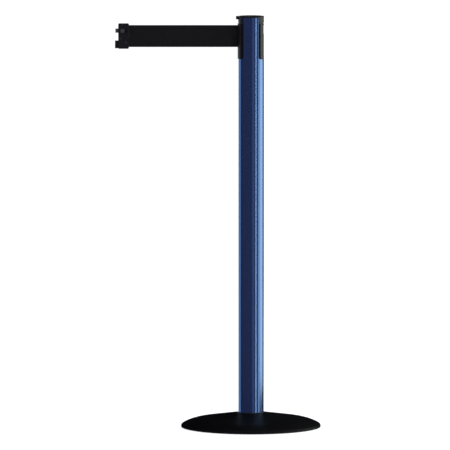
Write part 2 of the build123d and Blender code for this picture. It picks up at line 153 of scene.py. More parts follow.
def brick(low: tuple[float, float, float], high: tuple[float, float, float]) -> bmesh.types.BMesh:
    """Box between two corners.

    Args:
        low: Lowest corner in metres.
        high: Highest corner in metres.

    Returns:
        The box as a bmesh.
    """
    bm = bmesh.new()
    centre = (Vector(low) + Vector(high)) / 2
    size = Vector(high) - Vector(low)
    shape = Matrix.Translation(centre) @ Matrix.Diagonal((*size, 1))
    bmesh.ops.create_cube(bm, size=1.0, matrix=shape)
    return bm


def round_edges(
    bm: bmesh.types.BMesh, edges: list[bmesh.types.BMEdge], offset: float, segments: int
) -> None:
    """Bevel some edges with a round profile.

    Args:
        bm: The mesh.
        edges: Edges to round.
        offset: Width of the rounding in metres.
        segments: Steps across the rounding.
    """
    bmesh.ops.bevel(
        bm, geom=edges, offset=offset, segments=segments, profile=0.5, affect="EDGES", material=-1,
        clamp_overlap=True,
    )


def carve(piece: bpy.types.Object, cutter: bpy.types.Object) -> None:
    """Cut one piece by another and drop the cutter.

    Args:
        piece: Piece that keeps its name.
        cutter: Closed shape that is taken away.
    """
    cut = piece.modifiers.new("cut", "BOOLEAN")
    cut.operation = "DIFFERENCE"
    cut.solver = "EXACT"
    cut.object = cutter
    graph = bpy.context.evaluated_depsgraph_get()
    made = bpy.data.meshes.new_from_object(piece.evaluated_get(graph))
    piece.modifiers.clear()
    piece.data = made
    bpy.data.objects.remove(cutter)


def reshade(piece: bpy.types.Object, sharp_deg: float = SHARP_DEG) -> None:
    """Merge a cut piece's doubles and shade it again.

    Args:
        piece: The piece after its cuts.
        sharp_deg: Turn above which an edge stays sharp.
    """
    bm = bmesh.new()
    bm.from_mesh(piece.data)
    bmesh.ops.remove_doubles(bm, verts=bm.verts, dist=MERGE)
    polish(bm, sharp_deg)
    bm.to_mesh(piece.data)
    bm.free()


def softened_copy(node: str, name: str, width: float, segments: int = 2) -> bpy.types.Object:
    """Copy a CAD node, merge it and round its edges.

    Args:
        node: CAD node to copy.
        name: Name of the new piece.
        width: Width of the rounding in metres.
        segments: Steps across the rounding.

    Returns:
        The rounded copy, which stands for the node.
    """
    bm = bmesh.new()
    bm.from_mesh(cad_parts[node].data)
    bmesh.ops.remove_doubles(bm, verts=bm.verts, dist=2 * MERGE)
    flat = math.radians(FLAT_DEG)
    bmesh.ops.dissolve_limit(bm, angle_limit=flat, verts=bm.verts, edges=bm.edges)
    piece = finish_mesh(bm, name)
    soften = piece.modifiers.new("soften", "BEVEL")
    soften.width = width
    soften.segments = segments
    soften.limit_method = "ANGLE"
    soften.angle_limit = math.radians(SOFTEN_DEG)
    soften.harden_normals = True
    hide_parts(node)
    return piece


def place(
    piece: bpy.types.Object, body: Body, material: bpy.types.Material
) -> bpy.types.Object:
    """Dress a new piece and put it on its body.

    Args:
        piece: The finished piece.
        body: Body that it rides on.
        material: Material to show.

    Returns:
        The same piece.
    """
    piece.data.materials.clear()
    piece.data.materials.append(material)
    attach(piece, body.value)
    LOG.info("piece %s rides on %s", piece.name, body.value)
    return piece


def dress(node: str, material: bpy.types.Material) -> None:
    """Give a CAD node a better material.

    Args:
        node: Name of the node.
        material: Material to show.
    """
    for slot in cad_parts[node].material_slots:
        slot.material = material
    LOG.info("node %s wears %s", node, material.name)


# ---- shader groups ------------------------------------------------------------------------
# colour sockets of the Mix node, which share their names with the ones for numbers
MIX_A, MIX_B, MIX_RESULT = 6, 7, 2


@dataclass
class NodeBench:
    """Small helper that adds and wires shader nodes in one tree."""

    tree: bpy.types.NodeTree

    def add(self, kind: str, **settings: object) -> bpy.types.Node:
        """Add a node.

        Args:
            kind: Blender's node type name.
            **settings: Properties to set on it.

        Returns:
            The new node.
        """
        node = self.tree.nodes.new(kind)
        for key, value in settings.items():
            setattr(node, key, value)
        return node

    def math(self, operation: str, a: object, b: object = 0.0) -> bpy.types.NodeSocket:
        """Add a Math node.

        Args:
            operation: Name of the operation.
            a: Socket or number for the first input.
            b: Socket or number for the second input.

        Returns:
            The node's output.
        """
        node = self.add("ShaderNodeMath", operation=operation)
        for socket, value in zip(node.inputs, (a, b)):
            self.feed(socket, value)
        return node.outputs[0]

    def feed(self, socket: bpy.types.NodeSocket, value: object) -> None:
        """Link a socket into an input, or set a number on it.

        Args:
            socket: Input to feed.
            value: Socket, number or colour.
        """
        if isinstance(value, bpy.types.NodeSocket):
            self.tree.links.new(value, socket)
        else:
            socket.default_value = value

    def mix(self, factor: object, a: object, b: object) -> bpy.types.NodeSocket:
        """Mix two colours.

        Args:
            factor: Socket or number.
            a: Colour at factor 0.
            b: Colour at factor 1.

        Returns:
            The mixed colour.
        """
        node = self.add("ShaderNodeMix", data_type="RGBA")
        self.feed(node.inputs["Factor"], factor)
        self.feed(node.inputs[MIX_A], a)
        self.feed(node.inputs[MIX_B], b)
        return node.outputs[MIX_RESULT]


def new_group(
    name: str, ins: dict[str, tuple[str, object]], outs: dict[str, str]
) -> bpy.types.NodeTree:
    """Make an empty shader group with named sockets.

    Args:
        name: Name of the group.
        ins: Input name to (socket type, default).
        outs: Output name to socket type.

    Returns:
        The group's tree.
    """
    tree = bpy.data.node_groups.new(name, "ShaderNodeTree")
    for label, (kind, default) in ins.items():
        socket = tree.interface.new_socket(label, in_out="INPUT", socket_type=kind)
        if default is not None:
            socket.default_value = default
    for label, kind in outs.items():
        tree.interface.new_socket(label, in_out="OUTPUT", socket_type=kind)
    return tree


FLOAT = "NodeSocketFloat"
VECTOR = "NodeSocketVector"
# pointiness at which an edge starts to wear, and at which it is fully worn
WEAR_FROM, WEAR_TO = 0.53, 0.62
# how far the threads rise and sink about their middle height
THREAD_SWING, THREAD_MIDDLE = 0.35, 0.65


def grain_group() -> bpy.types.NodeTree:
    """Fine moulded or sprayed texture, as a height and a slow colour mask.

    Returns:
        The group's tree.
    """
    tree = new_group(
        "surface_grain",
        {"Vector": (VECTOR, None), "Fine scale": (FLOAT, 1500.0), "Broad scale": (FLOAT, 12.0)},
        {"Height": FLOAT, "Mask": FLOAT},
    )
    bench = NodeBench(tree)
    ins = bench.add("NodeGroupInput")
    outs = bench.add("NodeGroupOutput")
    fine = bench.add("ShaderNodeTexNoise")
    fine.inputs["Detail"].default_value = 3.0
    broad = bench.add("ShaderNodeTexNoise")
    broad.inputs["Detail"].default_value = 5.0
    bench.feed(fine.inputs["Vector"], ins.outputs["Vector"])
    bench.feed(fine.inputs["Scale"], ins.outputs["Fine scale"])
    bench.feed(broad.inputs["Vector"], ins.outputs["Vector"])
    bench.feed(broad.inputs["Scale"], ins.outputs["Broad scale"])
    bench.feed(outs.inputs["Height"], fine.outputs["Fac"])
    bench.feed(outs.inputs["Mask"], broad.outputs["Fac"])
    return tree


def wear_group() -> bpy.types.NodeTree:
    """Thin broken wear along convex edges, as a mask.

    Returns:
        The group's tree.
    """
    tree = new_group(
        "edge_wear",
        {"Vector": (VECTOR, None), "Amount": (FLOAT, 0.3), "Break-up scale": (FLOAT, 180.0)},
        {"Mask": FLOAT},
    )
    bench = NodeBench(tree)
    ins = bench.add("NodeGroupInput")
    outs = bench.add("NodeGroupOutput")
    geometry = bench.add("ShaderNodeNewGeometry")
    ridge = bench.add("ShaderNodeMapRange")
    ridge.inputs["From Min"].default_value = WEAR_FROM
    ridge.inputs["From Max"].default_value = WEAR_TO
    noise = bench.add("ShaderNodeTexNoise")
    bench.feed(ridge.inputs["Value"], geometry.outputs["Pointiness"])
    bench.feed(noise.inputs["Vector"], ins.outputs["Vector"])
    bench.feed(noise.inputs["Scale"], ins.outputs["Break-up scale"])
    broken = bench.math("MULTIPLY", ridge.outputs["Result"], noise.outputs["Fac"])
    bench.feed(outs.inputs["Mask"], bench.math("MULTIPLY", broken, ins.outputs["Amount"]))
    return tree


def dust_group() -> bpy.types.NodeTree:
    """Thin settled dust on faces that look up, as a mask.

    Returns:
        The group's tree.
    """
    tree = new_group(
        "settled_dust",
        {"Vector": (VECTOR, None), "Amount": (FLOAT, 0.1), "Patch scale": (FLOAT, 25.0)},
        {"Mask": FLOAT},
    )
    bench = NodeBench(tree)
    ins = bench.add("NodeGroupInput")
    outs = bench.add("NodeGroupOutput")
    geometry = bench.add("ShaderNodeNewGeometry")
    split = bench.add("ShaderNodeSeparateXYZ")
    noise = bench.add("ShaderNodeTexNoise")
    noise.inputs["Detail"].default_value = 8.0
    bench.feed(split.inputs[0], geometry.outputs["Normal"])
    bench.feed(noise.inputs["Vector"], ins.outputs["Vector"])
    bench.feed(noise.inputs["Scale"], ins.outputs["Patch scale"])
    upward = bench.math("MAXIMUM", split.outputs["Z"], 0.0)
    patch = bench.math("MULTIPLY", upward, noise.outputs["Fac"])
    bench.feed(outs.inputs["Mask"], bench.math("MULTIPLY", patch, ins.outputs["Amount"]))
    return tree


def weave_group() -> bpy.types.NodeTree:
    """Woven webbing: warp ribs along the belt crossed by picks, as a height and a thread mask.

    Returns:
        The group's tree.
    """
    tree = new_group(
        "webbing_weave",
        {"Along": (FLOAT, 0.0), "Across": (FLOAT, 0.0), "Rib pitch": (FLOAT, 0.0012),
         "Pick pitch": (FLOAT, 0.0016)},
        {"Height": FLOAT, "Thread": FLOAT},
    )
    bench = NodeBench(tree)
    ins = bench.add("NodeGroupInput")
    outs = bench.add("NodeGroupOutput")
    rib = bench.math("DIVIDE", ins.outputs["Across"], ins.outputs["Rib pitch"])
    pick = bench.math("DIVIDE", ins.outputs["Along"], ins.outputs["Pick pitch"])
    crest = bench.math("ABSOLUTE", bench.math("SINE", bench.math("MULTIPLY", rib, math.pi)))
    turn = bench.math("MULTIPLY", bench.math("FLOOR", rib), math.pi)
    wave = bench.math("SINE", bench.math("ADD", bench.math("MULTIPLY", pick, math.tau), turn))
    swell = bench.math("ADD", bench.math("MULTIPLY", wave, THREAD_SWING), THREAD_MIDDLE)
    bench.feed(outs.inputs["Height"], bench.math("MULTIPLY", crest, swell))
    bench.feed(outs.inputs["Thread"], swell)
    return tree


@dataclass
class Workshop:
    """The shared shader groups, built once."""

    grain: bpy.types.NodeTree = field(default_factory=grain_group)
    wear: bpy.types.NodeTree = field(default_factory=wear_group)
    dust: bpy.types.NodeTree = field(default_factory=dust_group)
    weave: bpy.types.NodeTree = field(default_factory=weave_group)


SHOP = Workshop()


def use_group(bench: NodeBench, tree: bpy.types.NodeTree, **values: object) -> bpy.types.Node:
    """Place a shared group in a material with its own values.

    Args:
        bench: Bench of the material.
        tree: Shared group.
        **values: Input name, with underscores for spaces, to socket or number.

    Returns:
        The group node.
    """
    node = bench.add("ShaderNodeGroup")
    node.node_tree = tree
    for key, value in values.items():
        bench.feed(node.inputs[key.replace("_", " ")], value)
    return node


# ---- finishes -----------------------------------------------------------------------------
@dataclass(frozen=True)
class Finish:
    """A grained, slightly worn and dusty solid finish."""

    name: str
    colour: Colour
    second: Colour
    roughness: float
    metallic: float = 0.0
    rough_spread: float = 0.12
    grain_scale: float = 1500.0
    grain_depth: float = 0.00004
    bump: float = 0.3
    wear: float = 0.2
    wear_colour: Colour = (0.2, 0.2, 0.2)
    dust: float = 0.05
    dust_colour: Colour = (0.25, 0.24, 0.22)
    coat: float = 0.0
    coat_roughness: float = 0.05
    specular: float = 0.5

    def build(self) -> bpy.types.Material:
        """Build the material.

        Returns:
            The new material.
        """
        material = bpy.data.materials.new(self.name)
        material.use_nodes = True
        bench = NodeBench(material.node_tree)
        shader = material.node_tree.nodes["Principled BSDF"]
        place_on = bench.add("ShaderNodeTexCoord").outputs["Object"]
        grain = use_group(bench, SHOP.grain, Vector=place_on, Fine_scale=self.grain_scale)
        wear = use_group(bench, SHOP.wear, Vector=place_on, Amount=self.wear)
        dust = use_group(bench, SHOP.dust, Vector=place_on, Amount=self.dust)
        base = bench.mix(grain.outputs["Mask"], (*self.colour, 1.0), (*self.second, 1.0))
        worn = bench.mix(wear.outputs["Mask"], base, (*self.wear_colour, 1.0))
        dusty = bench.mix(dust.outputs["Mask"], worn, (*self.dust_colour, 1.0))
        bench.feed(shader.inputs["Base Color"], dusty)
        spread = bench.math("MULTIPLY", grain.outputs["Mask"], self.rough_spread)
        low = self.roughness - self.rough_spread / 2
        rough = bench.math("ADD", spread, low)
        bench.feed(shader.inputs["Roughness"], bench.math("ADD", rough, dust.outputs["Mask"]))
        shader.inputs["Metallic"].default_value = self.metallic
        shader.inputs["Coat Weight"].default_value = self.coat
        shader.inputs["Coat Roughness"].default_value = self.coat_roughness
        shader.inputs["Specular IOR Level"].default_value = self.specular
        bump = bench.add("ShaderNodeBump")
        bump.inputs["Strength"].default_value = self.bump
        bump.inputs["Distance"].default_value = self.grain_depth
        bench.feed(bump.inputs["Height"], grain.outputs["Height"])
        bench.feed(shader.inputs["Normal"], bump.outputs["Normal"])
        return material


@dataclass(frozen=True)
class WebbingFinish:
    """Black woven belt with darker selvedges and two faint inner lines."""

    name: str = "belt_webbing"
    thread: Colour = (0.0080, 0.0080, 0.0081)
    gap: Colour = (0.002, 0.002, 0.002)
    centre_z: float = 0.0
    half_width: float = 0.027
    selvedge: float = 0.0022
    line_in: float = 0.0088
    line_width: float = 0.0007
    line_share: float = 0.5
    darkening: float = 0.75
    roughness: float = 0.72
    thread_gloss: float = -0.12
    dark_roughness: float = 0.3
    specular: float = 0.3
    sheen: float = 0.06
    sheen_roughness: float = 0.4
    bump: float = 0.7
    bump_depth: float = 0.0003

    def build(self) -> bpy.types.Material:
        """Build the material.

        Returns:
            The new material.
        """
        material = bpy.data.materials.new(self.name)
        material.use_nodes = True
        bench = NodeBench(material.node_tree)
        shader = material.node_tree.nodes["Principled BSDF"]
        split = bench.add("ShaderNodeSeparateXYZ")
        bench.feed(split.inputs[0], bench.add("ShaderNodeTexCoord").outputs["Object"])
        weave = use_group(bench, SHOP.weave, Along=split.outputs["X"], Across=split.outputs["Z"])
        offset = bench.math("SUBTRACT", split.outputs["Z"], self.centre_z)
        from_middle = bench.math("ABSOLUTE", offset)
        edge = bench.math("GREATER_THAN", from_middle, self.half_width - self.selvedge)
        past_line = bench.math("SUBTRACT", from_middle, self.half_width - self.line_in)
        line = bench.math("LESS_THAN", bench.math("ABSOLUTE", past_line), self.line_width)
        faint = bench.math("MULTIPLY", line, self.line_share)
        dark = bench.math("MULTIPLY", bench.math("MAXIMUM", edge, faint), self.darkening)
        thread = bench.mix(weave.outputs["Height"], (*self.gap, 1.0), (*self.thread, 1.0))
        bench.feed(shader.inputs["Base Color"], bench.mix(dark, thread, (*self.gap, 1.0)))
        smoother = bench.math("MULTIPLY", weave.outputs["Thread"], self.thread_gloss)
        rough = bench.math("ADD", smoother, self.roughness)
        rougher = bench.math("MULTIPLY", dark, self.dark_roughness)
        bench.feed(shader.inputs["Roughness"], bench.math("ADD", rough, rougher))
        shader.inputs["Specular IOR Level"].default_value = self.specular
        shader.inputs["Sheen Weight"].default_value = self.sheen
        shader.inputs["Sheen Roughness"].default_value = self.sheen_roughness
        bump = bench.add("ShaderNodeBump")
        bump.inputs["Strength"].default_value = self.bump
        bump.inputs["Distance"].default_value = self.bump_depth
        bench.feed(bump.inputs["Height"], weave.outputs["Height"])
        bench.feed(shader.inputs["Normal"], bump.outputs["Normal"])
        return material


class Palette:
    """Every material of the stanchion, built once."""

    def __init__(self, belt_z: float) -> None:
        """Build the materials.

        Args:
            belt_z: Height of the belt's middle in metres.
        """
        self.post = Finish(
            "post_metallic_blue", (0.070, 0.142, 0.292), (0.076, 0.152, 0.306), 0.13, metallic=0.94,
            rough_spread=0.03, grain_scale=90.0, grain_depth=0.000002, bump=0.02, wear=0.05,
            wear_colour=(0.5, 0.55, 0.62), dust=0.003, coat=0.22, coat_roughness=0.04,
        ).build()
        self.base = Finish(
            "base_satin_black", (0.0045, 0.0045, 0.0048), (0.006, 0.006, 0.0063), 0.46,
            rough_spread=0.1, grain_scale=1100.0, grain_depth=0.00006, bump=0.3, wear=0.15,
            wear_colour=(0.08, 0.08, 0.08), dust=0.008, dust_colour=(0.16, 0.155, 0.15),
            specular=0.06,
        ).build()
        self.head = Finish(
            "head_moulded_black", (0.006, 0.007, 0.007), (0.009, 0.010, 0.0095), 0.44,
            grain_scale=1900.0, grain_depth=0.00005, bump=0.35, wear=0.2,
            wear_colour=(0.07, 0.07, 0.07), dust=0.015, specular=0.27,
        ).build()
        self.latch = Finish(
            "latch_moulded_black", (0.03, 0.03, 0.031), (0.038, 0.038, 0.038), 0.4,
            grain_scale=1700.0, bump=0.35, wear=0.3,
        ).build()
        self.rubber = Finish(
            "pad_rubber_black", (0.014, 0.014, 0.014), (0.024, 0.023, 0.022), 0.82,
            grain_scale=700.0, grain_depth=0.0001, bump=0.5, dust=0.15,
        ).build()
        self.seal = Finish(
            "seal_rubber_black", (0.007, 0.007, 0.007), (0.012, 0.012, 0.0118), 0.7,
            grain_scale=1200.0, grain_depth=0.00005, bump=0.4, dust=0.01, specular=0.2,
        ).build()
        self.iron = Finish(
            "weight_cast_iron", (0.055, 0.052, 0.05), (0.10, 0.085, 0.075), 0.65, metallic=0.8,
            grain_scale=420.0, grain_depth=0.0003, bump=0.7,
        ).build()
        self.zinc = Finish(
            "fixings_zinc", (0.42, 0.42, 0.40), (0.52, 0.52, 0.49), 0.34, metallic=1.0,
            grain_scale=900.0,
        ).build()
        self.bright = Finish(
            "pins_ground_steel", (0.55, 0.55, 0.55), (0.62, 0.62, 0.61), 0.22, metallic=1.0,
            grain_scale=2200.0,
        ).build()
        self.black_steel = Finish(
            "screws_black_oxide", (0.02, 0.02, 0.022), (0.035, 0.034, 0.034), 0.38, metallic=0.7,
            grain_scale=1400.0, wear=0.5, wear_colour=(0.3, 0.3, 0.3),
        ).build()
        self.spring = Finish(
            "spring_blued_strip", (0.10, 0.12, 0.20), (0.20, 0.19, 0.20), 0.3, metallic=1.0,
            grain_scale=1300.0,
        ).build()
        self.grey = Finish(
            "reel_grey_plastic", (0.26, 0.27, 0.28), (0.30, 0.31, 0.32), 0.45, grain_scale=1500.0,
        ).build()
        self.white = Finish(
            "rollers_white_acetal", (0.70, 0.70, 0.67), (0.76, 0.76, 0.72), 0.3, grain_scale=1800.0,
        ).build()
        self.felt = Finish(
            "brake_grey_felt", (0.16, 0.16, 0.16), (0.24, 0.24, 0.23), 0.95, grain_scale=900.0,
            grain_depth=0.0004, bump=0.9,
        ).build()
        self.webbing = WebbingFinish(centre_z=belt_z).build()
        # rougher finish for the panels' lowered border; its colour, darker than the head's, is
        # painted shade in the groove beside the tube
        self.recess = Finish(
            "head_recess_painted_shade", (0.003, 0.003, 0.0032), (0.006, 0.006, 0.006), 0.82,
            rough_spread=0.06, grain_scale=2600.0, grain_depth=0.00006, bump=0.5, specular=0.12,
        ).build()
        self.stitching = Finish(
            "stitch_thread_black", (0.03, 0.03, 0.031), (0.05, 0.05, 0.052), 0.55,
            grain_scale=5200.0, grain_depth=0.00008, bump=0.7,
        ).build()


# ---- sub-assemblies -----------------------------------------------------------------------
@dataclass
class Post:
    """The blue tube with its two side windows for the head's panels."""

    radius: float = 31.75 * MM
    wall: float = 2.0 * MM
    window_half: float = 25.9 * MM
    corner: float = 5.0 * MM
    lip: float = 0.35 * MM
    sill_gap: float = 0.3 * MM
    cut_over: float = 20.0 * MM

    def build(self, palette: Palette) -> bpy.types.Object:
        """Make the tube, cut its windows and dress it.

        Args:
            palette: Materials.

        Returns:
            The tube.
        """
        low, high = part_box("post_tube")
        inner = self.radius - self.wall
        bottom, top = low[2], high[2]
        outline = [
            (inner, bottom), (self.radius, bottom), (self.radius, top - self.lip),
            (self.radius - self.lip, top), (inner, top),
        ]
        tube = finish_mesh(lathe(outline, ROUND_STEPS), "post_tube_skin")
        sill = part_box("receiver_panel")[0][2] - self.sill_gap
        for side in (-1, 1):
            carve(tube, self.window(side, sill, top))
        reshade(tube)
        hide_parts("post_tube")
        return place(tube, Body.STAND, palette.post)

    def window(self, side: int, sill: float, top: float) -> bpy.types.Object:
        """Cutter for one window, with round lower corners.

        Args:
            side: +1 for the receiver's side, -1 for the outlet's.
            sill: Height of the window's foot.
            top: Height of the tube's end.

        Returns:
            The cutter.
        """
        near, far = sorted((0.0, side * 2 * self.radius))
        roof = top + self.cut_over
        bm = brick((near, -self.window_half, sill), (far, self.window_half, roof))
        corners = [
            e for e in bm.edges
            if all(abs(v.co.z - sill) < MERGE for v in e.verts)
            and abs(e.verts[0].co.y - e.verts[1].co.y) < MERGE
        ]
        round_edges(bm, corners, self.corner, 8)
        return finish_mesh(bm, "window_cutter")


@dataclass(frozen=True)
class Dome:
    """Profile of the base's cover: a long slope, a shoulder, a bend and a steep rim.

    Shoulder and bend are (distance in from the rim, height). The pulls, in millimetres,
    are the directions in which the curve leaves and reaches them.
    """

    post_radius: float = 31.75 * MM
    shoulder: Point = (38.0 * MM, 20.8 * MM)
    bend: Point = (14.0 * MM, 13.9 * MM)
    rim_height: float = 5.2 * MM
    off_shoulder: Point = (24.0, -4.0)
    into_bend: Point = (20.0, -8.6)
    off_bend: Point = (14.0, -6.0)
    into_rim: Point = (1.5, -9.0)
    slope_steps: int = 12
    shoulder_steps: int = 10
    rim_steps: int = 12

    def outline(self, rim: float, crown: float, inset: float) -> list[Point]:
        """Points down the dome, from the post to the rim.

        Args:
            rim: Radius of the rim in metres.
            crown: Height of the dome at the post in metres.
            inset: Distance under the outer surface in metres.

        Returns:
            (radius, height) points in order.
        """
        start = Vector((self.post_radius, crown - inset))
        shoulder = Vector((rim - self.shoulder[0], self.shoulder[1] - inset))
        bend = Vector((rim - self.bend[0] - inset / 2, self.bend[1] - inset))
        end = Vector((rim - inset, self.rim_height - inset / 2))
        slope = [start.lerp(shoulder, i / self.slope_steps) for i in range(self.slope_steps)]
        first = smooth_run(
            shoulder, Vector(self.off_shoulder) * MM, bend, Vector(self.into_bend) * MM,
            self.shoulder_steps,
        )
        last = smooth_run(
            bend, Vector(self.off_bend) * MM, end, Vector(self.into_rim) * MM, self.rim_steps
        )
        return [tuple(p) for p in slope + first[:-1] + last]


@dataclass
class Base:
    """The black dome cover, the rubber pad under it and what they hide."""

    groove_radii: tuple[float, ...] = (40.0 * MM, 80.0 * MM, 120.0 * MM, 150.0 * MM)
    groove_width: float = 6.0 * MM
    groove_depth: float = 1.0 * MM
    groove_slope: float = 0.3 * MM
    pad_edge: float = 0.5 * MM
    pad_steps: int = 192
    pad_sharp_deg: float = 25.0
    cover_wall: float = 1.6 * MM
    cover_bore: float = 32.15 * MM
    cover_sharp_deg: float = 40.0
    collar_lap: float = 0.35 * MM
    dome: Dome = field(default_factory=Dome)

    def build(self, palette: Palette) -> None:
        """Dress the base.

        Args:
            palette: Materials.
        """
        self.cover(palette)
        self.pad(palette)
        dress("collar_seal", palette.seal)
        dress("base_weight", palette.iron)
        for node in ("base_bolt", "base_washer", "foot_pins", "foot_plug"):
            dress(node, palette.zinc)

    def pad(self, palette: Palette) -> bpy.types.Object:
        """Turn the rubber pad with its round grooves underneath.

        Args:
            palette: Materials.

        Returns:
            The pad.
        """
        low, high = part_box("floor_pad")
        foot, top, edge = low[2], high[2], high[0]
        outline = [(0.0, foot)]
        for start in self.groove_radii:
            end = start + self.groove_width
            roof = foot + self.groove_depth
            outline += [(start, foot), (start + self.groove_slope, roof)]
            outline += [(end - self.groove_slope, roof), (end, foot)]
        outline += [(edge - self.pad_edge, foot), (edge, foot + self.pad_edge)]
        outline += [(edge, top), (0.0, top)]
        pad = finish_mesh(lathe(outline, self.pad_steps), "floor_pad_skin", self.pad_sharp_deg)
        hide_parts("floor_pad")
        return place(pad, Body.STAND, palette.rubber)

    def cover(self, palette: Palette) -> bpy.types.Object:
        """Make the smooth dome shell.

        Args:
            palette: Materials.

        Returns:
            The shell.
        """
        low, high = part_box("base_cover")
        rim, foot = high[0], low[2]
        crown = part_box("collar_seal")[0][2] + self.collar_lap
        outer = self.dome.outline(rim, crown, 0.0)
        inner = self.dome.outline(rim, crown, self.cover_wall)
        outline = [(self.cover_bore, outer[0][1])] + outer[1:]
        outline += [(rim, foot), (rim - self.cover_wall, foot)]
        outline += list(reversed(inner[1:])) + [(self.cover_bore, inner[0][1])]
        shell = finish_mesh(lathe(outline, ROUND_STEPS), "base_cover_skin", self.cover_sharp_deg)
        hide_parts("base_cover")
        return place(shell, Body.STAND, palette.base)


def smooth_run(
    start: Vector, leave: Vector, end: Vector, arrive: Vector, steps: int
) -> list[Vector]:
    """Hermite run between two points.

    Args:
        start: First point.
        leave: Direction and pull at the first point.
        end: Last point.
        arrive: Direction and pull at the last point.
        steps: Number of steps.

    Returns:
        Points in order, both ends included.
    """
    points = []
    for i in range(steps + 1):
        t = i / steps
        a = 2 * t**3 - 3 * t**2 + 1
        b = t**3 - 2 * t**2 + t
        c = -2 * t**3 + 3 * t**2
        d = t**3 - t**2
        points.append(start * a + leave * b + end * c + arrive * d)
    return points


@dataclass
class Head:
    """Cap, side panels and the mechanism inside."""

    recess_low: float = 30.2 * MM
    recess_high: float = 31.2 * MM
    face_half: float = 19.0 * MM
    cap_edge: float = 0.35 * MM
    panel_edge: float = 0.3 * MM

    def build(self, palette: Palette) -> None:
        """Dress the head.

        Args:
            palette: Materials.
        """
        cap = softened_copy("head_cap", "head_cap_skin", self.cap_edge)
        place(cap, Body.STAND, palette.head)
        for node in ("outlet_panel", "receiver_panel"):
            panel = softened_copy(node, f"{node}_skin", self.panel_edge)
            place(panel, Body.STAND, palette.head)
            # darker lowered border: painted shade in the groove beside the tube
            self.shade_recess_border(panel, palette)
        for node in ("cassette_floor", "cassette_top", "spring_cup", "spring_cover"):
            dress(node, palette.head)
        for node in ("cassette_rods", "cassette_nuts", "spindle_clip"):
            dress(node, palette.zinc)
        for node in ("spindle", "roller_pins"):
            dress(node, palette.bright)
        for node in ("power_spring", "wave_washer"):
            dress(node, palette.spring)
        for node in ("reel_core", "reel_flanges"):
            dress(node, palette.grey)
        for node in ("bushings", "guide_roller_front", "guide_roller_back"):
            dress(node, palette.white)
        dress("brake_felt", palette.felt)
        dress("belt_roll", palette.webbing)
        dress("belt_lead", palette.webbing)
        dress("head_screws", palette.black_steel)

    def shade_recess_border(self, piece: bpy.types.Object, palette: Palette) -> None:
        """Give a panel's lowered border the rougher finish of its mould and a darker colour, which
        is painted shade in the groove beside the tube.

        Args:
            piece: Panel skin.
            palette: Materials.
        """
        # faces of the lowered border take the darker finish: painted shade in the groove
        piece.data.materials.append(palette.recess)
        for face in piece.data.polygons:
            reach = math.hypot(face.center.x, face.center.y)
            if self.recess_low < reach < self.recess_high and abs(face.center.y) > self.face_half:
                face.material_index = 1


